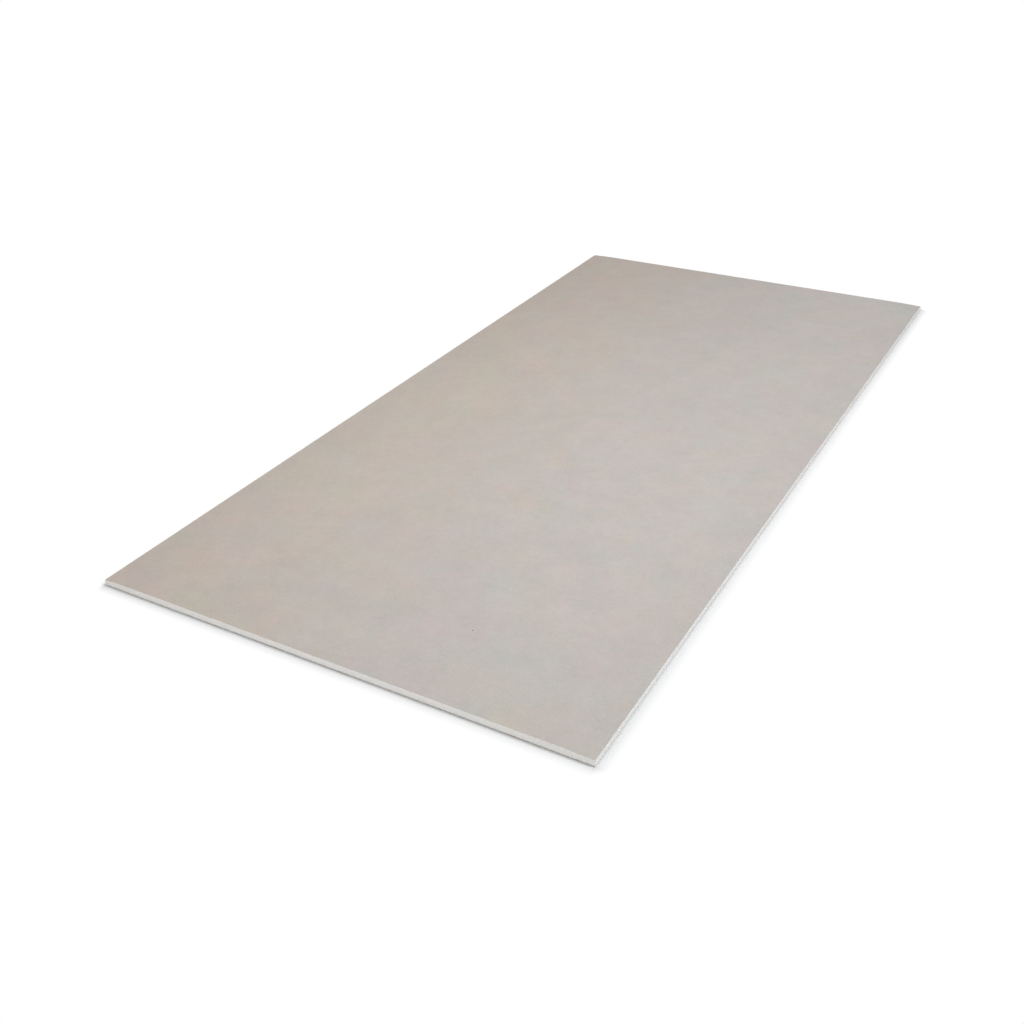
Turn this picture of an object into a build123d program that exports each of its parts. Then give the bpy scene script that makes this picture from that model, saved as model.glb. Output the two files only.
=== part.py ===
"""Drywall sheet: a cast gypsum core between two papers, lying flat with its face up.

The face paper covers the face, goes down both long edges and turns under, where it ends
in a lap on the back. The back paper is glued over those laps and stops short of the long
edges. The face falls away along both long edges, which makes the taper that takes the
joint tape. The two short ends are sawn square, so the core and both papers show there.

Frame: X across the sheet, Y along it and Z up. The origin is under the middle of the
sheet, on the surface that it lies on. Lengths are in millimetres.
"""

import os

from build123d import *

# The sheet: four feet by eight, five eighths of an inch thick
sheet_width = 1219.2
sheet_length = 2438.4
sheet_thickness = 15.9

# The two papers
face_paper_thickness = 0.3
back_paper_thickness = 0.3

# The tapered long edges
taper_width = 63.5
taper_depth = 2.0
taper_blend_radius = 400.0
fold_radius = 1.2

# The back: how far the face paper turns under, and how far the back paper stays inside
lap_width = 25.4
back_paper_inset = 12.0

# Levels and half widths that follow from the sizes above
half_width = sheet_width / 2
face_level = sheet_thickness
edge_level = sheet_thickness - taper_depth
lap_level = back_paper_thickness
core_back_width = sheet_width - 2 * lap_width
back_paper_width = sheet_width - 2 * back_paper_inset


def wrapped_section():
    """The section inside the outer surface of the face paper, in the XZ plane."""
    outline = Polyline(
        (-half_width, lap_level),
        (half_width, lap_level),
        (half_width, edge_level),
        (half_width - taper_width, face_level),
        (taper_width - half_width, face_level),
        (-half_width, edge_level),
        close=True,
    )
    section = Sketch() + make_face(outline)

    long_edge_corners = section.vertices().filter_by(lambda v: abs(v.X) > half_width - taper_width / 2)
    section = fillet(long_edge_corners, fold_radius)

    taper_breaks = section.vertices().group_by(Axis.Y)[-1]
    return fillet(taper_breaks, taper_blend_radius)


def core_section(wrapped):
    """The core: one paper thickness inside the wrap, and down to the back paper between the laps."""
    inside_the_wrap = offset(wrapped, -face_paper_thickness)
    between_the_laps = Pos(0, lap_level) * Rectangle(
        core_back_width,
        face_paper_thickness,
        align=(Align.CENTER, Align.MIN),
    )
    return inside_the_wrap + between_the_laps


def back_paper_section():
    """One flat strip under the core and over the laps."""
    return Rectangle(
        back_paper_width,
        back_paper_thickness,
        align=(Align.CENTER, Align.MIN),
    )


def run_along_the_sheet(section):
    """A section in the XZ plane, carried from one sawn end to the other."""
    return extrude(Plane.XZ * section, amount=sheet_length / 2, both=True)


wrapped = wrapped_section()
core = core_section(wrapped)

pieces = {
    "gypsum_core": run_along_the_sheet(core),
    "face_paper": run_along_the_sheet(wrapped - core),
    "back_paper": run_along_the_sheet(back_paper_section()),
}

os.makedirs("parts", exist_ok=True)
for name, piece in pieces.items():
    piece.label = name
    export_step(piece, f"parts/{name}.step")
    print(f"{name}: {piece.volume:.0f} mm3, {len(piece.solids())} solid, valid {piece.is_valid}")
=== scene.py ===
# %% [markdown]
# # A drywall sheet
#
# The object is one sheet of drywall, lying on its back on a pale floor. It looks like a
# plain slab, but it is a small piece of paper craft: a slab of cast gypsum is wrapped in
# two papers. The face paper goes round both long edges and ends in a lap on the back, and
# the back paper is glued over the laps. The long edges are thinner than the middle, so that
# tape and compound can fill the joint there. The two short ends are sawn, and show the core.
#
# The sizes come from the CAD model, which is loaded first and never moved. Each of its
# three solids is then replaced by a finer surface of the same size, which can carry waves,
# torn paper and pores that would be a burden in the CAD model.

import math

import bpy
import numpy as np
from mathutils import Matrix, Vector


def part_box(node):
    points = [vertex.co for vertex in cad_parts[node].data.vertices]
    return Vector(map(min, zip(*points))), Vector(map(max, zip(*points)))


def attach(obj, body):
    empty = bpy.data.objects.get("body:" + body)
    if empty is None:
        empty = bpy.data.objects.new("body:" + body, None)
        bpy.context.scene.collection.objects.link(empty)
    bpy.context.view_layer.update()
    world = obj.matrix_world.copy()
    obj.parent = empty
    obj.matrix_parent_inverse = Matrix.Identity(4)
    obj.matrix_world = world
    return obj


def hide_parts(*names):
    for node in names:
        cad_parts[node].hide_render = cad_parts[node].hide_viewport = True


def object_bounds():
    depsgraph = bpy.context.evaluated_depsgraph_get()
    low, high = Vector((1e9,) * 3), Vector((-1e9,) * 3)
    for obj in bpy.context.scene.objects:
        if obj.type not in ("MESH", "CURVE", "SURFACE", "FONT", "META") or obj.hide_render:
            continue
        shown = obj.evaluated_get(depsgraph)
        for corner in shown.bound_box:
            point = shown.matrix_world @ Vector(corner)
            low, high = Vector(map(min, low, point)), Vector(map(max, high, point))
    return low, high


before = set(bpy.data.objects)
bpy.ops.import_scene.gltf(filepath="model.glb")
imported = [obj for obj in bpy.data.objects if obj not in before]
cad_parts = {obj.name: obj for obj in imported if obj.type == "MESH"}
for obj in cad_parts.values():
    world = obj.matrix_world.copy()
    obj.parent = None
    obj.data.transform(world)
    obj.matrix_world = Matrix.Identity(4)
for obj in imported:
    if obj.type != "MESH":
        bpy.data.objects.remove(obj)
cad_low, cad_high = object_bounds()
print("solids:", sorted(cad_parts))

# %% [markdown]
# ## Sizes
#
# Most sizes can be read from the boxes of the solids: the outer size of the sheet, the
# height of the lap, the width of the back paper. The shape of the taper and of the folds
# doesn't show in a box, so those few lengths are given here again, in metres.

# %% Read the sizes
half_width = cad_high.x
half_length = cad_high.y
face_level = cad_high.z
lap_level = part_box("face_paper")[0].z
back_half_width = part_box("back_paper")[1].x
paper = lap_level

taper_width = 0.0635
taper_depth = 0.002
blend_radius = 0.4
fold_radius = 0.0012
lap_width = 0.0254

print(f"sheet {2 * half_width:.4f} x {2 * half_length:.4f} x {face_level:.4f} m")

# %% [markdown]
# ## The section as a heading
#
# The face paper's section is straight runs joined by arcs. It could be drawn as a list of
# points, or each arc could be worked out with its own centre. It is shorter to walk along
# the paper like a compass: each span has a length, a turn and a number of steps, and the
# heading changes evenly along it. Adding up the steps gives the points, and the heading
# gives the outward direction for nothing, which is what a sheet with a thickness needs.

# %% List the spans of the face paper
slope = math.atan(taper_depth / taper_width)
blend_tangent = blend_radius * math.tan(slope / 2)
upper_turn = math.pi / 2 - slope
upper_tangent = fold_radius * math.tan(upper_turn / 2)

lap = (lap_width - fold_radius, 0.0, 8)
lower_fold = (fold_radius * math.pi / 2, -math.pi / 2, 8)
edge = (face_level - taper_depth - lap_level - upper_tangent - fold_radius, 0.0, 6)
upper_fold = (fold_radius * upper_turn, -upper_turn, 8)
taper = (taper_width / math.cos(slope) - blend_tangent - upper_tangent, 0.0, 36)
blend = (blend_radius * slope, -slope, 6)
flat = (2 * (half_width - taper_width - blend_tangent), 0.0, 600)

left_side = [lap, lower_fold, edge, upper_fold, taper, blend]
spans = left_side + [flat] + left_side[::-1]
girth = sum(length for length, turn, steps in spans)
print(f"{len(spans)} spans, {girth:.4f} m of paper")

# %% [markdown]
# The walk starts under the board, where the left lap ends, and heads outwards along the
# lap. Then it goes up round the left edge, over the face and down round the right edge, and
# it stops where the right lap ends.


# %% Walk along the face paper
def walk(spans, start, heading):
    """Points and outward directions of a line made of (length, turn, steps) spans.

    The heading changes evenly along each span, so a span is a straight run or an arc. In a
    step that turns by t, the chord is the step's length times sin(t / 2) / (t / 2), and it
    points along the heading halfway. The points are the running sum of the chords, and the
    outward direction is a quarter turn to the left of the heading.
    """
    step = np.concatenate([np.full(n, length / n) for length, turn, n in spans])
    turn = np.concatenate([np.full(n, turn / n) for length, turn, n in spans])
    headings = heading + np.concatenate([[0.0], np.cumsum(turn)])
    middle = (headings[1:] + headings[:-1]) / 2
    chord = step * np.sinc(turn / (2 * np.pi))
    chords = np.stack([chord * np.cos(middle), chord * np.sin(middle)], axis=1)
    points = np.asarray(start) + np.vstack([np.zeros(2), np.cumsum(chords, axis=0)])
    outward = np.stack([-np.sin(headings), np.cos(headings)], axis=1)
    return points, outward


lap_end = half_width - lap_width
wrap, wrap_out = walk(spans, (-lap_end, lap_level), math.pi)
last_x, last_z = wrap[-1]
print(f"{len(wrap)} points, the last at x {last_x:.4f}, z {last_z:.4f}")

# %% [markdown]
# ## Unevenness
#
# Nothing that is cast, soaked and dried in an oven is quite even. All the small relief here
# comes from one helper: random heights on a grid, blurred to the size of the bumps that are
# wanted. A blur is a slow loop when it is done point by point, so it is done on the waves
# that the heights are made of, where it is one product. The numbers start from a fixed seed
# and come out the same each time.

# %% Make soft random heights
dice = np.random.default_rng(1894)


def blurred(heights, reach):
    """Heights on a grid, averaged with a bell curve that spans reach grid steps on each axis.

    A wave of f turns per grid step is scaled by exp(-2 (pi f reach)^2), and the grid is
    taken to repeat at its borders.
    """
    waves = np.fft.fft2(heights)
    down = np.exp(-2 * (np.pi * np.fft.fftfreq(heights.shape[0]) * reach[0]) ** 2)
    across = np.exp(-2 * (np.pi * np.fft.fftfreq(heights.shape[1]) * reach[1]) ** 2)
    return np.fft.ifft2(waves * down[:, None] * across[None, :]).real


def soft_noise(shape, reach):
    """Random heights blurred to bumps of the given reach, with a spread of one."""
    heights = blurred(dice.standard_normal(shape), reach)
    return (heights - heights.mean()) / heights.std()


print("a sample:", soft_noise((4, 4), (1, 1))[0].round(3))

# %% [markdown]
# ## From grids to pieces
#
# Every piece is a grid of points bent into shape. Two helpers turn grids into a Blender
# mesh: one makes the four-sided faces between neighbouring points, and one hands whole
# arrays to the mesh, which is far quicker than adding faces one at a time. The piece then
# rides on the CAD body and stands for the CAD solid that it replaces.

# %% Make meshes from arrays
def quads(grid):
    """The faces between neighbours on a grid of point numbers, columns first."""
    corners = [grid[:-1, :-1], grid[:-1, 1:], grid[1:, 1:], grid[1:, :-1]]
    return np.stack(corners, axis=-1).reshape(-1, 4)


def make_piece(name, points, faces, node):
    """A mesh object at the origin, its points in metres, smooth but for its sharp edges."""
    mesh = bpy.data.meshes.new(name)
    mesh.vertices.add(len(points))
    mesh.vertices.foreach_set("co", points.astype(np.float32).ravel())
    mesh.loops.add(faces.size)
    mesh.loops.foreach_set("vertex_index", faces.astype(np.int32).ravel())
    mesh.polygons.add(len(faces))
    mesh.polygons.foreach_set("loop_start", np.arange(0, faces.size, 4, dtype=np.int32))
    mesh.polygons.foreach_set("use_smooth", np.ones(len(faces), dtype=bool))
    mesh.update(calc_edges=True)
    mesh.set_sharp_from_angle(angle=math.radians(40))
    piece = bpy.data.objects.new(name, mesh)
    bpy.context.scene.collection.objects.link(piece)
    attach(piece, "root")
    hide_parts(node)
    print(f"{name}: {len(points)} points, {2 * len(faces)} triangles")
    return piece


# %% [markdown]
# ## A sheet of paper
#
# Both papers are thin sheets with a section carried along the board. Their section is a
# closed ring: the outer line one way, and the inner line, one thickness inside, back again.
# Stations along the board carry the ring from one sawn end to the other. They crowd at the
# ends, because the saw leaves the paper's cut edge a little ragged there, and in between
# they can be far apart, because a board is made in one long ribbon and changes slowly
# along its length.

# %% Set the stations along the board
end_stations = np.array([0.0, 0.0006, 0.0015, 0.003, 0.006, 0.012, 0.025])
middle_start = 0.05
middle_stations = np.linspace(middle_start, 2 * half_length - middle_start, 30)
along = np.concatenate([end_stations, middle_stations, 2 * half_length - end_stations[::-1]])
along = along - half_length
print(f"{len(along)} stations, the closest {np.diff(along).min() * 1000:.1f} mm apart")

# %% [markdown]
# Near the saw cuts each thread of the paper ends a little short of the cut, by an amount of
# its own. The amounts and the sag of the outer line are arrays with one number a point, so
# the whole sheet is worked out in a few sums.

# %% Carry a paper section along the board
fray_reach = 0.003


def paper_points(outer, outward, sag, short, drift):
    """Points of a paper sheet, as stations by ring.

    Each ring is the outer line, pulled in by sag, and then the inner line, one paper
    thickness inside, in the opposite order. At the two ends, each point falls short of the
    saw cut by its own amount, short, times 1 - distance from the cut / fray_reach. Drift
    shifts the whole ring sideways from station to station.
    """
    x = outer[:, 0] - outward[:, 0] * sag
    z = outer[:, 1] - outward[:, 1] * sag
    inner = outer - outward * paper
    x = np.hstack([x, np.broadcast_to(inner[::-1, 0], x.shape)])
    z = np.hstack([z, np.broadcast_to(inner[::-1, 1], z.shape)])
    near = np.clip(1 - (along + half_length) / fray_reach, 0, 1)
    far = near[::-1]
    short = np.hstack([short, short[:, ::-1]])
    y = along[:, None] + near[:, None] * short[0] - far[:, None] * short[1]
    return np.stack([x + drift[:, None], y, z], axis=-1).reshape(-1, 3)


def paper_faces(count):
    """The long faces round each ring, and the cut faces that close the two ends.

    Count is the number of points on the outer line, which is half of a ring.
    """
    ids = np.arange(len(along) * 2 * count).reshape(len(along), 2 * count)
    ring = quads(np.column_stack([ids, ids[:, :1]]))
    outer_ids, inner_ids = ids[:, :count], ids[:, :count - 1:-1]
    near_cut = quads(np.stack([inner_ids[0], outer_ids[0]]))
    far_cut = quads(np.stack([outer_ids[-1], inner_ids[-1]]))
    return np.vstack([ring, near_cut, far_cut])


print(f"the fray reaches {fray_reach * 1000:.0f} mm in from each cut")

# %% [markdown]
# ## The face paper
#
# The face is flat to the eye, but it cockles by a few hundredths of a millimetre while it
# dries. The waves are long in the direction in which the board was made and short across
# it. They could be left to a bump pattern in the material. As real relief they also bend
# the outline and the shine in a low light, and the mesh has points to spare.

# %% Make the face paper
usual_sag = 0.00004
cockle_height = 0.00002
most_sag = 0.00012
shape = (len(along), len(wrap))
cockle = soft_noise(shape, (3, 22)) + 0.5 * soft_noise(shape, (1.5, 7))
face_sag = np.clip(usual_sag + cockle_height * cockle, 0, most_sag)

usual_short = 0.00015
wander_size = 0.00006
fray_size = 0.00012
most_short = 0.0008
cut_wander = soft_noise((2, len(wrap)), (0, 30))
cut_fray = np.abs(soft_noise((2, len(wrap)), (0, 0.7)))
face_short = usual_short + wander_size * cut_wander + fray_size * cut_fray
face_short = np.clip(face_short, 0, most_short)

points = paper_points(wrap, wrap_out, face_sag, face_short, np.zeros(len(along)))
faces = paper_faces(len(wrap))
face_sheet = make_piece("face_sheet", points, faces, "face_paper")

# %% [markdown]
# ## The back paper
#
# The back paper is one flat strip under the core. It is glued over the laps and stops short
# of the long edges, so a narrow step of face paper stays in view along each of them. Its
# slit edges wander by a fraction of a millimetre.

# %% Make the back paper
back_spans = [(2 * back_half_width, 0.0, 640)]
back_line, back_out = walk(back_spans, (back_half_width, 0.0), math.pi)

usual_sag = 0.00003
most_sag = 0.0001
shape = (len(along), len(back_line))
back_sag = np.clip(usual_sag + cockle_height * soft_noise(shape, (3, 18)), 0, most_sag)

usual_short = 0.0002
fray_size = 0.00014
most_short = 0.0009
back_fray = np.abs(soft_noise((2, len(back_line)), (0, 0.8)))
back_short = np.clip(usual_short + fray_size * back_fray, 0, most_short)

wander_size = 0.0003
slit_wander = wander_size * soft_noise((len(along), 1), (2, 0))[:, 0]

points = paper_points(back_line, back_out, back_sag, back_short, slit_wander)
faces = paper_faces(len(back_line))
back_sheet = make_piece("back_sheet", points, faces, "back_paper")

# %% [markdown]
# ## The gypsum core
#
# The core shows only at the two sawn ends, so all its detail goes there. Each end is a grid
# that fills the section between a lower and an upper line. The lines come from the inside
# of the face paper, so core and paper fit. The lower line steps up by one paper where a lap
# begins, and two columns stand close together there, one on each side of the step. The rows
# stand closer near the papers, where the crumbs are. The two grids are joined round their
# borders, which closes the core under the papers.

# %% Lay out the core's section
inner_line = wrap - wrap_out * paper
over = wrap_out[:, 1] >= 0
under = (wrap_out[:, 1] <= 0) & (wrap[:, 0] > 0)
fold_start = half_width - fold_radius
fold_sine = np.sin(np.linspace(0, math.pi / 2, 8))[1:]
corner_columns = fold_start + (fold_radius - paper) * fold_sine

lap_step_gap = 0.00001
lap_columns = lap_end + lap_step_gap * np.array([-1, 1])
even_columns = np.linspace(0, fold_start, 800)
half_columns = np.sort(np.concatenate([even_columns, lap_columns, corner_columns]))
columns = np.concatenate([-half_columns[:0:-1], half_columns])

upper = np.interp(columns, inner_line[over, 0], inner_line[over, 1])
lower = np.interp(np.abs(columns), inner_line[under, 0][::-1], inner_line[under, 1][::-1])
lower = np.where(np.abs(columns) < lap_end, lap_level, lower)

even_rows = np.linspace(0, 1, 23)
crowded_rows = (1 - np.cos(math.pi * even_rows)) / 2
row_share = 0.6 * even_rows + 0.4 * crowded_rows
heights = lower + row_share[:, None] * (upper - lower)
print(f"{heights.shape[1]} columns, {heights.shape[0]} rows")

# %% [markdown]
# A saw goes through set gypsum as through chalk. It leaves fine upright scores, opens the
# air bubbles that the core was foamed with, and breaks small crumbs out along the papers,
# because the papers hold together and the gypsum doesn't. Each of these is a depth on the
# grid, and the end face is the sum of them, always inside the sawn plane.


# %% Set the depths of the sawn ends
base_depth = 0.00024
score_depth = 0.00006
wave_depth = 0.00004
pit_depth = 0.00045
crumb_depth = 0.0006
crumb_reach = 0.07
least_depth = 0.00002
most_depth = 0.0012


def bubbles(shape, share, reach):
    """Rounded pits of one size, one deep.

    A share of the grid's points is picked at random and blurred to bells. Each is divided by
    the peak of a blurred point, 1 / (2 pi times both reaches), and cut off at one.
    """
    hits = (dice.random(shape) < share).astype(float)
    bell = blurred(hits, reach)
    peak = 1 / (2 * math.pi * reach[0] * reach[1])
    return np.clip(bell / peak, 0, 1)


print(f"pits up to {pit_depth * 1000:.2f} mm, crumbs about {crumb_depth * 1000:.1f} mm")


# %% Add up the depths of the sawn ends
def sawn_depth(shape):
    """How far each point of a sawn end lies behind the saw cut, in metres.

    A base depth, plus upright scores, broad waves, pits of two sizes and crumbs, each a
    pattern times its own depth. The crumbs fade as exp(-rim / crumb_reach), where rim is the
    distance from the nearer paper as a share of the height. The sum is kept between the
    least and the most depth.
    """
    scores = soft_noise(shape, (30, 0.9))
    waves = soft_noise(shape, (9, 45))
    pits = 0.7 * bubbles(shape, 0.006, (0.8, 0.7)) + bubbles(shape, 0.0016, (1.3, 1.1))
    rim = np.minimum(row_share, 1 - row_share)[:, None]
    crumbs = np.clip(soft_noise(shape, (2, 3)) - 0.3, 0, 2) * np.exp(-rim / crumb_reach)
    depth = base_depth + score_depth * scores + wave_depth * waves
    depth = depth + pit_depth * pits + crumb_depth * crumbs
    return np.clip(depth, least_depth, most_depth)


near_depth = sawn_depth(heights.shape)
far_depth = sawn_depth(heights.shape)
print(f"deepest pit {max(near_depth.max(), far_depth.max()) * 1000:.2f} mm")

# %% Make the gypsum core
x = np.broadcast_to(columns, heights.shape)
near_end = np.stack([x, -half_length + near_depth, heights], axis=-1)
far_end = np.stack([x, half_length - far_depth, heights], axis=-1)
points = np.concatenate([near_end.reshape(-1, 3), far_end.reshape(-1, 3)])

near_ids = np.arange(heights.size).reshape(heights.shape)
far_ids = near_ids + heights.size


def border(grid):
    """The outermost numbers of a grid, once round and back to the first."""
    return np.concatenate([grid[0], grid[1:, -1], grid[-1, -2::-1], grid[-2::-1, 0]])


sides = quads(np.stack([border(near_ids), border(far_ids)], axis=1))
faces = np.vstack([quads(near_ids), quads(far_ids)[:, ::-1], sides])
core = make_piece("core", points, faces, "gypsum_core")

# %% [markdown]
# ## Node helpers
#
# Materials are built from nodes. A short helper makes a node, sets its values and joins its
# inputs in one call, which keeps each material readable as a list of steps.


# %% Make nodes and join them
def add(tree, kind, joins=None, **values):
    """A node of the tree, its properties set by name and its inputs joined or filled."""
    node = tree.nodes.new(kind)
    for name, value in values.items():
        setattr(node, name, value)
    for key, source in (joins or {}).items():
        if isinstance(source, bpy.types.NodeSocket):
            tree.links.new(source, node.inputs[key])
        else:
            node.inputs[key].default_value = source
    return node


def maths(tree, operation, *inputs, clamp=False):
    """The result of one sum on numbers or sockets."""
    joins = dict(enumerate(inputs))
    return add(tree, "ShaderNodeMath", joins, operation=operation, use_clamp=clamp).outputs[0]


def vector_maths(tree, operation, *inputs):
    """The result of one sum on vectors, colours or sockets of either."""
    joins = dict(enumerate(inputs))
    return add(tree, "ShaderNodeVectorMath", joins, operation=operation).outputs[0]


print("helpers for nodes and sums ready")

# %% [markdown]
# Three kinds of node come back in every material: noise, a ramp from one number to another,
# and a blend of two colours. Each has a helper of its own.


# %% Add noise, ramps and blends
def noise(tree, vector, scale, detail=2.0, roughness=0.5, distortion=0.0):
    """The outputs of a noise texture: a number first, then a colour. Scale is bumps a metre."""
    joins = {"Vector": vector, "Scale": scale, "Detail": detail}
    joins.update({"Roughness": roughness, "Distortion": distortion})
    return add(tree, "ShaderNodeTexNoise", joins).outputs


def ramp(tree, value, start, end, low=0.0, high=1.0, kind="LINEAR"):
    """A number that runs from low to high while the value runs from start to end.

    Low plus (high - low) times (value - start) / (end - start), and never beyond the two.
    The kind SMOOTHSTEP rounds both ends of the ramp off.
    """
    joins = {"Value": value, "From Min": start, "From Max": end, "To Min": low, "To Max": high}
    return add(tree, "ShaderNodeMapRange", joins, interpolation_type=kind).outputs[0]


def spread(tree, value, low, high):
    """A number between 0 and 1 carried over to low + (high - low) times that number."""
    return ramp(tree, value, 0.0, 1.0, low, high)


def blend_colours(tree, amount, first, second):
    """The first colour times (1 - amount), plus the second times the amount."""
    node = add(tree, "ShaderNodeMix", data_type="RGBA")
    sockets = {s.identifier: s for s in node.inputs}
    for identifier, source in (("Factor_Float", amount), ("A_Color", first), ("B_Color", second)):
        if isinstance(source, bpy.types.NodeSocket):
            tree.links.new(source, sockets[identifier])
        else:
            sockets[identifier].default_value = source
    return next(s for s in node.outputs if s.identifier == "Result_Color")


def cover(tree, colour, paint, mask, strength):
    """The colour with a paint laid over it, blended in by the mask times the strength."""
    return blend_colours(tree, maths(tree, "MULTIPLY", mask, strength), colour, paint)


print("helpers for noise, ramps and blends ready")

# %% [markdown]
# What more than one material needs is made once, as a node group, and placed in each of
# them with its own values.


# %% Build and place node groups
def new_group(name, inputs, outputs):
    """An empty node group with named number inputs, a Vector input and number outputs."""
    group = bpy.data.node_groups.new(name, "ShaderNodeTree")
    group.interface.new_socket("Vector", in_out="INPUT", socket_type="NodeSocketVector")
    for socket, value in inputs.items():
        made = group.interface.new_socket(socket, in_out="INPUT", socket_type="NodeSocketFloat")
        made.default_value = value
    for socket in outputs:
        group.interface.new_socket(socket, in_out="OUTPUT", socket_type="NodeSocketFloat")
    given = group.nodes.new("NodeGroupInput").outputs
    result = group.nodes.new("NodeGroupOutput").inputs
    return group, given, result


def use_group(tree, group, vector, **values):
    """A group placed in a material, with its own values."""
    node = add(tree, "ShaderNodeGroup", node_tree=group)
    tree.links.new(vector, node.inputs["Vector"])
    for name, value in values.items():
        node.inputs[name.replace("_", " ").title()].default_value = value
    return node.outputs


print("helpers for groups ready")

# %% [markdown]
# ## Paper fibres
#
# Both papers are pressed from recycled fibre. Seen close, such a paper is a felt of short
# threads, most of them lying along the direction in which the paper ran. From further away
# it is mottled with thicker and thinner clouds of every size, from a few millimetres to a
# hand's width. One group makes both: noise that is stretched along the sheet for the
# threads, and for the clouds a noise whose finer octaves are as strong as its first.

# %% Build the fibre group
fibre_group, given, result = new_group(
    "paper_fibres",
    {"Threads": 700.0, "Clouds": 9.0, "Stretch": 0.3},
    ["Tone", "Height"],
)
run = add(fibre_group, "ShaderNodeCombineXYZ", {"X": 1.0, "Y": given["Stretch"], "Z": 1.0})
stretched = vector_maths(fibre_group, "MULTIPLY", given["Vector"], run.outputs[0])
threads = noise(fibre_group, stretched, given["Threads"], distortion=0.6)[0]
clouds = noise(fibre_group, given["Vector"], given["Clouds"], detail=6.0, roughness=1.0)[0]
both = maths(fibre_group, "ADD", threads, clouds)
tone = maths(fibre_group, "MULTIPLY", both, 0.5)
fibre_group.links.new(tone, result["Tone"])
fibre_group.links.new(threads, result["Height"])
print("group:", fibre_group.name)

# %% [markdown]
# ## Flecks
#
# Recycled fibre carries flecks of bark and old ink, and sawn gypsum shows open bubbles.
# Both are small rounded marks, thinly strewn. A Voronoi texture cuts space into cells, each
# with a middle: a mark is what lies near the middle, in the few cells that are picked by
# their random colour. The same colour also sets the size of the mark, and bending the
# coordinates a little keeps the marks from being round.

# %% Build the fleck group
fleck_group, given, result = new_group(
    "flecks",
    {"Cells": 200.0, "Radius": 0.12, "Share": 0.2, "Bend": 0.3},
    ["Mask"],
)
fine_cells = maths(fleck_group, "MULTIPLY", given["Cells"], 3.0)
bend = noise(fleck_group, given["Vector"], fine_cells)["Color"]
centred = vector_maths(fleck_group, "SUBTRACT", bend, (0.5, 0.5, 0.5))
bend_size = maths(fleck_group, "DIVIDE", given["Bend"], given["Cells"])
bend_joins = {0: centred, "Scale": bend_size}
offset = add(fleck_group, "ShaderNodeVectorMath", bend_joins, operation="SCALE").outputs[0]
bent = vector_maths(fleck_group, "ADD", given["Vector"], offset)
cells = add(fleck_group, "ShaderNodeTexVoronoi", {"Vector": bent, "Scale": given["Cells"]})
pick = add(fleck_group, "ShaderNodeSeparateColor", {0: cells.outputs["Color"]})
size = maths(fleck_group, "MULTIPLY_ADD", pick.outputs[1], 1.1, 0.45)
size = maths(fleck_group, "MULTIPLY", size, given["Radius"])
solid_size = maths(fleck_group, "MULTIPLY", size, 0.35)
inside = ramp(fleck_group, cells.outputs["Distance"], size, solid_size)
picked = maths(fleck_group, "LESS_THAN", pick.outputs[0], given["Share"])
fleck_group.links.new(maths(fleck_group, "MULTIPLY", inside, picked), result["Mask"])
print("group:", fleck_group.name)

# %% [markdown]
# ## Rubbed rims
#
# A sheet is carried by its edges and slid on its ends, and sawing leaves white dust in the
# paper there. The effect is strongest at the very rim and fades inwards in patches. A third,
# wide and even mask grows towards the long edges. The group measures how far a point is
# from the nearer sawn end and from the nearer long edge, turns each distance into a mask,
# and breaks the two rubbed masks up with noise.

# %% Build the rim group
rim_group, given, result = new_group(
    "rubbed_rims",
    {
        "Half Width": 0.6,
        "Half Length": 1.2,
        "End Reach": 0.01,
        "Edge Reach": 0.002,
        "Margin": 0.2,
        "Patches": 90.0,
    },
    ["Ends", "Edges", "Margins"],
)
place = add(rim_group, "ShaderNodeSeparateXYZ", {0: given["Vector"]})
patches = noise(rim_group, given["Vector"], given["Patches"], detail=4.0, roughness=0.6)[0]
inward = {}
for axis, half, reach, output in (
    ("Y", "Half Length", "End Reach", "Ends"),
    ("X", "Half Width", "Edge Reach", "Edges"),
):
    from_middle = maths(rim_group, "ABSOLUTE", place.outputs[axis])
    inward[axis] = maths(rim_group, "SUBTRACT", given[half], from_middle)
    share = maths(rim_group, "DIVIDE", inward[axis], given[reach])
    fade = maths(rim_group, "SUBTRACT", 1.0, share, clamp=True)
    lifted = maths(rim_group, "MULTIPLY", maths(rim_group, "ADD", fade, -0.35), 2.0)
    broken = maths(rim_group, "ADD", lifted, patches, clamp=True)
    steep_fade = maths(rim_group, "POWER", fade, 0.5)
    masked = maths(rim_group, "MULTIPLY", broken, steep_fade, clamp=True)
    rim_group.links.new(masked, result[output])
margins = ramp(rim_group, inward["X"], given["Margin"], 0.0, kind="SMOOTHSTEP")
rim_group.links.new(margins, result["Margins"])
print("group:", rim_group.name)

# %% [markdown]
# ## Materials
#
# Each material starts the same way: object coordinates, which for these pieces are metres
# in the sheet's own frame, and one Principled shader. Three things change over the surface
# and are joined to it: the colour, the roughness and a bump. For the rest, dry paper and
# gypsum do well with the numbers that the shader comes with.


# %% Start a material
def start_material(name):
    """A material's tree, its object coordinates and its shader."""
    material = bpy.data.materials.new(name)
    material.use_nodes = True
    tree = material.node_tree
    tree.nodes.clear()
    coordinates = add(tree, "ShaderNodeTexCoord").outputs["Object"]
    shader = add(tree, "ShaderNodeBsdfPrincipled")
    add(tree, "ShaderNodeOutputMaterial", {"Surface": shader.outputs[0]})
    return material, tree, coordinates, shader


def finish_material(tree, shader, colour, roughness, height, distance):
    """Joins the colour, the roughness and a bump of the given depth in metres."""
    bump = add(tree, "ShaderNodeBump", {"Strength": 1.0, "Distance": distance, "Height": height})
    tree.links.new(colour, shader.inputs["Base Color"])
    tree.links.new(roughness, shader.inputs["Roughness"])
    tree.links.new(bump.outputs[0], shader.inputs["Normal"])


print("ready to make materials")
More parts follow.
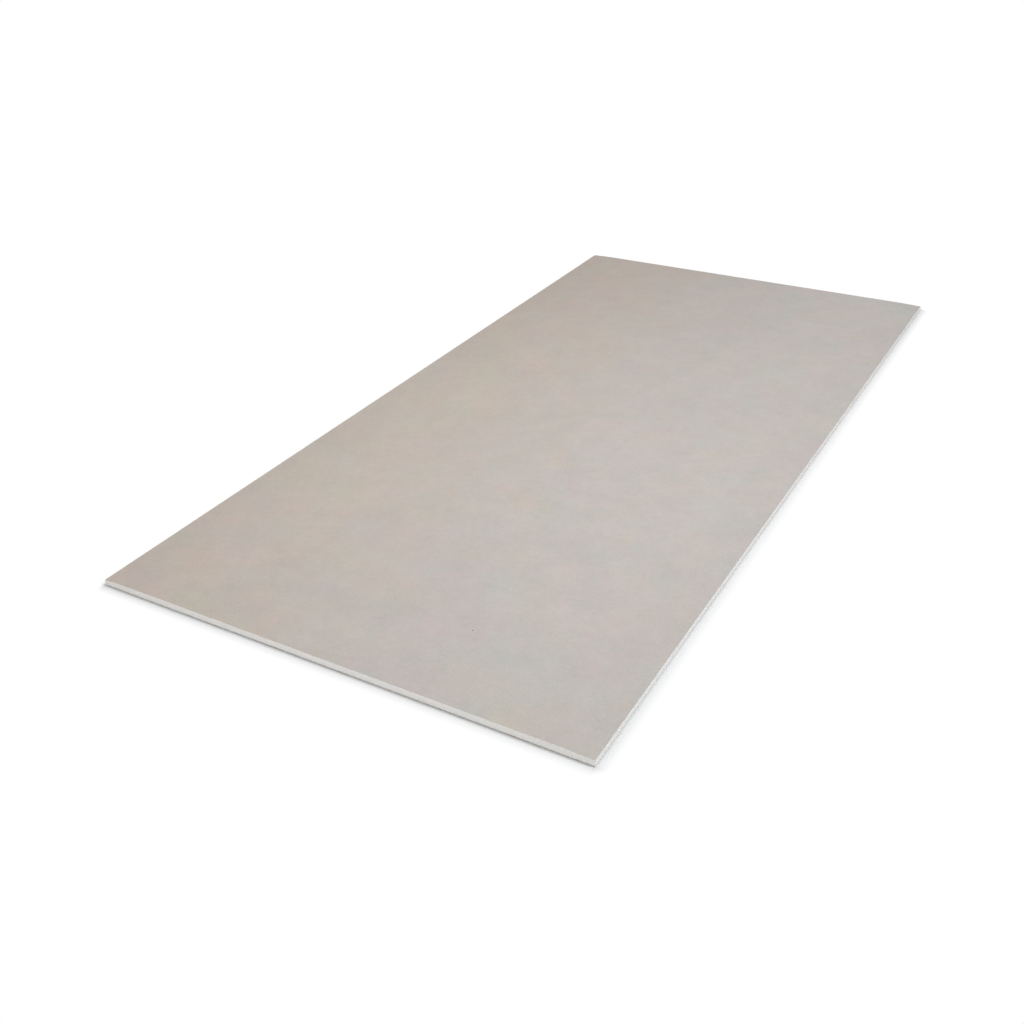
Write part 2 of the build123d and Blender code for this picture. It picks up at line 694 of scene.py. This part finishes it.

# %% [markdown]
# ### Face paper
#
# Seen from a few steps away the face is one even grey-beige. What keeps it from looking
# like painted plastic is small: clouds in the fibre, a few pale and dark flecks, a dull
# surface with hardly any shine, and rims that are rubbed pale with gypsum dust. On the long
# edges that pale rim also carries painted light and shade.
#
# Paper from mixed waste is never of one colour either. The colour output of a noise texture
# is three noises that know nothing of each other. Scaled down and laid over the grey, they
# make it a trace pinker, greener or bluer from place to place.
#
# The left half of the sheet is a little warmer than the right, as under a warm light from
# that side. A warm lamp on that side would do it too, but one that is strong enough turns the
# long edge next to it orange. So that warm light is painted: the paper is a little yellower on the
# left.

# %% Make the face paper material
dark_fibre = (0.4205, 0.3835, 0.3525, 1)
pale_fibre = (0.551, 0.505, 0.472, 1)
tint_size = Vector((0.33, 0.2, 0.25))
even_tint = Vector((1, 1, 1)) - tint_size / 2
no_warm_light = (1, 1, 1, 1)
warm_light_tint = (1.03, 0.985, 0.93, 1)
darkened = (0.335, 0.312, 0.284, 1)

material, tree, where, shader = start_material("face_paper")
spot = add(tree, "ShaderNodeSeparateXYZ", {0: where})
fibres = use_group(tree, fibre_group, where, threads=700.0, clouds=12.0, stretch=0.35)
tints = noise(tree, where, 7.3, detail=6.0, roughness=0.82)["Color"]
rims = use_group(
    tree, rim_group, where,
    half_width=half_width, half_length=half_length,
    end_reach=0.0012, edge_reach=0.0014, margin=0.2, patches=110.0,
)
colour = blend_colours(tree, spread(tree, fibres["Tone"], -0.85, 1.85), dark_fibre, pale_fibre)
tint = vector_maths(tree, "MULTIPLY_ADD", tints, tint_size, even_tint)
# painted warm light: the paper's colour is tinted yellower towards the left
painted_warm_light = ramp(tree, spot.outputs["X"], 0.25, -0.5, kind="SMOOTHSTEP")
for shift in (tint, blend_colours(tree, painted_warm_light, no_warm_light, warm_light_tint)):
    colour = vector_maths(tree, "MULTIPLY", colour, shift)
# the face is made a little darker over the last 20 cm towards each long edge
colour = cover(tree, colour, darkened, rims["Margins"], 0.1)
print("tone, tint and soiled margins mixed")

# %% [markdown]
# One dark nick, six millimetres long, stands out near the close end. It is an oval, made
# from the distance to its own middle, with a rim that is torn by noise and a pale lip where
# the paper has lifted. The flecks around it are much smaller.

# %% Add the marks of the face paper
dark_mark = (0.25, 0.21, 0.17, 1)
pale_mark = (0.68, 0.65, 0.61, 1)
nick_colour = (0.13, 0.12, 0.11, 1)
lip_colour = (0.72, 0.69, 0.65, 1)
nick_place = (0.2178, -0.998, face_level)
nick_turn = math.radians(28)
nick_half_size = (0.0032, 0.0017, 0.002)

dark_flecks = use_group(tree, fleck_group, where, cells=170.0, radius=0.1, share=0.16, bend=0.5)
colour = cover(tree, colour, dark_mark, dark_flecks["Mask"], 0.55)
pale_flecks = use_group(tree, fleck_group, where, cells=240.0, radius=0.12, share=0.12, bend=0.6)
colour = cover(tree, colour, pale_mark, pale_flecks["Mask"], 0.35)

nick = add(tree, "ShaderNodeMapping", {"Vector": where}, vector_type="TEXTURE")
nick.inputs["Location"].default_value = nick_place
nick.inputs["Rotation"].default_value = (0.0, 0.0, nick_turn)
nick.inputs["Scale"].default_value = nick_half_size
nick_distance = add(tree, "ShaderNodeVectorMath", {0: nick.outputs[0]}, operation="LENGTH")
torn = noise(tree, where, 1300.0, detail=3.0)[0]
nick_rim = maths(tree, "MULTIPLY_ADD", torn, 1.3, nick_distance.outputs["Value"])
nicked = ramp(tree, nick_rim, 1.75, 1.4)
colour = blend_colours(tree, ramp(tree, nick_rim, 2.6, 1.9, high=0.45), colour, lip_colour)
colour = blend_colours(tree, nicked, colour, nick_colour)
relief = maths(tree, "SUBTRACT", fibres["Height"], nicked)
print("flecks and the nick mixed")

# %% [markdown]
# On the folded long edges the dust is scuffed along the sheet. Its amount also carries
# painted light: it is largest near the close end and falls off towards the middle. It is
# smaller low on the edge, which is painted shade there.

# %% Dust the rims of the face paper, with painted light and shade on the long edges
pale_dust_and_light = (0.84, 0.825, 0.80, 1)
fibre_relief = 0.00004

lengthways = add(tree, "ShaderNodeMapping", {"Vector": where, "Scale": (1.0, 0.15, 1.0)})
scuffs = noise(tree, lengthways.outputs[0], 420.0, detail=5.0, roughness=0.75)[0]
# painted light and shade: the edge dust fades from the close end and thins low on the edge
painted_light_along_edge = ramp(tree, spot.outputs["Y"], -half_length, 0.0, 0.82, 0.62)
painted_shade_up_edge = ramp(tree, spot.outputs["Z"], 0.002, 0.009, 0.92, 1.02)
edge_dust_and_light = maths(tree, "MULTIPLY", painted_light_along_edge, painted_shade_up_edge)
edge_dust_and_light = maths(tree, "MULTIPLY", edge_dust_and_light, spread(tree, scuffs, 0.4, 1.6))
edge_dust_and_light = maths(tree, "MULTIPLY", edge_dust_and_light, rims["Edges"], clamp=True)
dust_and_painted_light = maths(tree, "MAXIMUM", maths(tree, "MULTIPLY", rims["Ends"], 0.95), edge_dust_and_light)
colour = blend_colours(tree, dust_and_painted_light, colour, pale_dust_and_light)
roughness = spread(tree, fibres["Tone"], 0.7, 0.92)
finish_material(tree, shader, colour, roughness, relief, fibre_relief)
face_sheet.data.materials.append(material)
print("material:", material.name)

# %% [markdown]
# ### Back paper
#
# The back paper is the cheaper of the two: browner, coarser, with more and larger flecks.
# It uses the same groups with other values.

# %% Make the back paper material
dark_fibre = (0.335, 0.290, 0.235, 1)
pale_fibre = (0.440, 0.390, 0.325, 1)
dark_mark = (0.15, 0.12, 0.09, 1)
thin_dust = (0.76, 0.74, 0.70, 1)
fibre_relief = 0.00007

material, tree, where, shader = start_material("back_paper")
fibres = use_group(tree, fibre_group, where, threads=520.0, clouds=14.0, stretch=0.3)
dark_flecks = use_group(tree, fleck_group, where, cells=130.0, radius=0.13, share=0.3, bend=0.6)
rims = use_group(
    tree, rim_group, where,
    half_width=back_half_width, half_length=half_length,
    end_reach=0.004, edge_reach=0.002, patches=150.0,
)
colour = blend_colours(tree, spread(tree, fibres["Tone"], -1.0, 2.0), dark_fibre, pale_fibre)
colour = cover(tree, colour, dark_mark, dark_flecks["Mask"], 0.55)
colour = cover(tree, colour, thin_dust, rims["Ends"], 0.55)
roughness = spread(tree, fibres["Tone"], 0.75, 0.95)
finish_material(tree, shader, colour, roughness, fibres["Height"], fibre_relief)
back_sheet.data.materials.append(material)
print("material:", material.name)

# %% [markdown]
# ### Gypsum
#
# Sawn gypsum is nearly white, dry and chalky. Upright streaks follow the saw. The bubbles
# that are too fine for the mesh come from the fleck group, used twice, for pits of about
# half a millimetre and for pinholes, and their insides are painted darker as painted shade.
# A grain as fine as chalk lies over all of it. The lowest two millimetres are painted a
# darker grey, as painted shade where the end meets the floor.

# %% Make the gypsum material
dark_streak = (0.75, 0.726, 0.697, 1)
pale_streak = (0.815, 0.797, 0.767, 1)
pale_patch = (0.80, 0.78, 0.75, 1)
painted_pore_shade = (0.50, 0.47, 0.44, 1)

material, tree, where, shader = start_material("gypsum")
upright = add(tree, "ShaderNodeMapping", {"Vector": where, "Scale": (1.0, 1.0, 0.1)})
streaks = noise(tree, upright.outputs[0], 520.0, detail=5.0, roughness=0.65)[0]
mottle = noise(tree, where, 130.0, detail=4.0)[0]
chalk = noise(tree, where, 2600.0, detail=3.0, roughness=0.7)[0]
pits = use_group(tree, fleck_group, where, cells=620.0, radius=0.3, share=0.28, bend=0.8)
pinholes = use_group(tree, fleck_group, where, cells=1500.0, radius=0.3, share=0.4, bend=0.9)
pores = maths(tree, "MULTIPLY_ADD", pinholes["Mask"], 0.5, pits["Mask"])

colour = blend_colours(tree, streaks, dark_streak, pale_streak)
colour = blend_colours(tree, spread(tree, mottle, -0.2, 0.7), colour, pale_patch)
# painted shade: the pores are darker inside
colour = cover(tree, colour, painted_pore_shade, pores, 0.3)
print("streaks, mottle and pores mixed")

# %% Paint shade on the lower rim and finish the gypsum
painted_low_shade_grey = (0.42, 0.40, 0.375, 1)
grain_relief = 0.00016

height_up = add(tree, "ShaderNodeSeparateXYZ", {0: where}).outputs["Z"]
# painted shade: the lowest two millimetres darken towards the floor
painted_low_shade = ramp(tree, height_up, 0.0006, 0.0026, 0.65, 0.0)
colour = cover(tree, colour, painted_low_shade_grey, painted_low_shade, spread(tree, mottle, 0.5, 1.5))
grain = maths(tree, "MULTIPLY_ADD", streaks, 1.6, maths(tree, "MULTIPLY", chalk, 0.5))
grain = maths(tree, "SUBTRACT", grain, pores)
finish_material(tree, shader, colour, spread(tree, mottle, 0.85, 1.0), grain, grain_relief)
core.data.materials.append(material)
print("material:", material.name)

# %% [markdown]
# ## Floor and background
#
# The background is white, and the sheet throws a short soft shadow on it. Lighting the
# floor until it turns white would spoil the sheet too. So the floor is a pale grey under
# plain light, and keeps the real shadow. With the distance from the sheet it fades into
# plain white, which only the camera and reflections see. The fade is over within three
# centimetres, where the shadow has run out. It is quicker on the left, the side away from
# the large lamp, where the shadow would reach furthest. The distances across and along are
# added up, so that it is also quicker off the corners, where less of the sheet stands in
# the way of the light.
#
# The floor lies half a millimetre below the sheet. A board never touches the ground all
# along its rim, and the narrow gap draws the thin dark line under it.


# %% Tell what the camera sees
def seen_directly(tree):
    """One for the camera, mirrors and glass, nought for the light that falls on things."""
    rays = add(tree, "ShaderNodeLightPath").outputs
    seen = maths(tree, "MAXIMUM", rays["Is Camera Ray"], rays["Is Glossy Ray"])
    return maths(tree, "MAXIMUM", seen, rays["Is Transmission Ray"])


def beyond(tree, coordinate, low, high, low_weight, high_weight):
    """How far a coordinate lies outside the range from low to high.

    Below the range it is (low - coordinate) times the low weight, above the range it is
    (coordinate - high) times the high weight, and inside it is nought.
    """
    under = maths(tree, "MULTIPLY", maths(tree, "SUBTRACT", low, coordinate), low_weight)
    over = maths(tree, "MULTIPLY", maths(tree, "SUBTRACT", coordinate, high), high_weight)
    return maths(tree, "MAXIMUM", maths(tree, "MAXIMUM", under, over), 0.0)


print("two floor helpers ready")

# %% Lay the floor
floor_half = 40.0
floor_level = -0.0005
floor_mesh = bpy.data.meshes.new("floor")
floor_corners = floor_half * np.array([[-1, -1], [1, -1], [1, 1], [-1, 1]])
floor_points = [(float(a), float(b), floor_level) for a, b in floor_corners]
floor_mesh.from_pydata(floor_points, [], [(0, 1, 2, 3)])
floor = bpy.data.objects.new("floor", floor_mesh)
bpy.context.scene.collection.objects.link(floor)
print("floor laid at", floor_level)

# %% Paint the floor
floor_grey = (0.7, 0.7, 0.7, 1)
fade_start = -0.0066
fade_end = 0.0285
left_weight = 1.6

floor_material = bpy.data.materials.new("floor")
floor_material.use_nodes = True
tree = floor_material.node_tree
tree.nodes.clear()
seen = seen_directly(tree)
where = add(tree, "ShaderNodeTexCoord").outputs["Object"]
spot = add(tree, "ShaderNodeSeparateXYZ", {0: where})
sideways = beyond(tree, spot.outputs["X"], -half_width, half_width, left_weight, 1.0)
lengthwise = beyond(tree, spot.outputs["Y"], -half_length, half_length, 1.0, 1.0)
away = maths(tree, "ADD", sideways, lengthwise)
fade = ramp(tree, away, fade_start, fade_end, kind="SMOOTHSTEP")
lit = add(tree, "ShaderNodeBsdfDiffuse", {"Color": floor_grey}).outputs[0]
white = add(tree, "ShaderNodeEmission", {"Strength": 1.0}).outputs[0]
mixed = add(tree, "ShaderNodeMixShader", {0: maths(tree, "MULTIPLY", fade, seen), 1: lit, 2: white})
add(tree, "ShaderNodeOutputMaterial", {"Surface": mixed.outputs[0]})
floor_mesh.materials.append(floor_material)
print(f"floor fades to white within {fade_end * 1000:.1f} mm")

# %% Make the background
world = bpy.data.worlds.new("studio")
bpy.context.scene.world = world
world.use_nodes = True
tree = world.node_tree
tree.nodes.clear()
plain_white = (1, 1, 1, 1)
fill_strength = 0.316
fill = add(tree, "ShaderNodeBackground", {"Color": plain_white, "Strength": fill_strength})
white = add(tree, "ShaderNodeBackground", {"Color": plain_white, "Strength": 1.0})
seen = seen_directly(tree)
mixed = add(tree, "ShaderNodeMixShader", {0: seen, 1: fill.outputs[0], 2: white.outputs[0]})
add(tree, "ShaderNodeOutputWorld", {"Surface": mixed.outputs[0]})
print("background made")

# %% [markdown]
# ## Lamps
#
# A large soft lamp stands high up, far to the right. It lights the face and the right long
# edge. As it stands further back than the close end, that end is in shade and drops a
# shadow a few millimetres wide towards the camera. A lamp above the sheet, a little closer
# than its middle, brightens the face there. Two low lamps, in front and at the back, lift
# the sawn ends and hardly touch the face, and a weak and slightly warm one does the same
# for the left long edge.


# %% Place the lamps
def place_lamp(name, position, target, size, power, colour):
    """A square lamp at a position, facing a target, all in metres, its power in watts."""
    data = bpy.data.lights.new(name, "AREA")
    data.size = size
    data.energy = power
    data.color = colour
    lamp = bpy.data.objects.new(name, data)
    bpy.context.scene.collection.objects.link(lamp)
    lamp.location = position
    aim = Vector(target) - Vector(position)
    lamp.rotation_euler = aim.to_track_quat("-Z", "Y").to_euler()


cool = (0.97, 1.0, 1.04)
neutral = (1.0, 1.0, 1.0)
warm = (1.0, 0.92, 0.84)
place_lamp("key", (5.4, 0.35, 5.1), (0, -0.2, 0), 2.0, 327, cool)
place_lamp("overhead", (0.17, -0.45, 2.0), (0.1, -0.36, 0), 1.6, 15.5, neutral)
place_lamp("front", (-0.1, -4.5, 0.35), (0, -1.2, 0), 0.65, 38, neutral)
place_lamp("back", (0.1, 4.5, 0.3), (0, 1.2, 0), 0.65, 22, neutral)
place_lamp("side", (-3.6, 0, 0.45), (-0.6, 0, 0), 0.8, 26, warm)

# %% [markdown]
# ## Camera
#
# The camera looks down on the sheet from the near right. Its place, its tilt and its lens
# come from the four edges of the face. Their real sizes are known, and only one camera sees
# a rectangle of that size as that four-sided shape. The small sideways shift is the rest of
# the photograph's framing: the lens looks a little to one side of the picture's middle.

# %% Place the camera
camera_data = bpy.data.cameras.new("camera")
camera_data.sensor_width = 36.0
camera_data.lens = 40.026
camera_data.shift_x = -0.018
camera = bpy.data.objects.new("camera", camera_data)
bpy.context.scene.collection.objects.link(camera)
camera.location = (1.2660, -2.5586, 1.4396)
camera.rotation_euler = [math.radians(a) for a in (58.648, 1.292, 29.293)]
bpy.context.scene.camera = camera
bpy.context.scene.view_settings.view_transform = "Standard"
print("camera at", [round(c, 3) for c in camera.location])
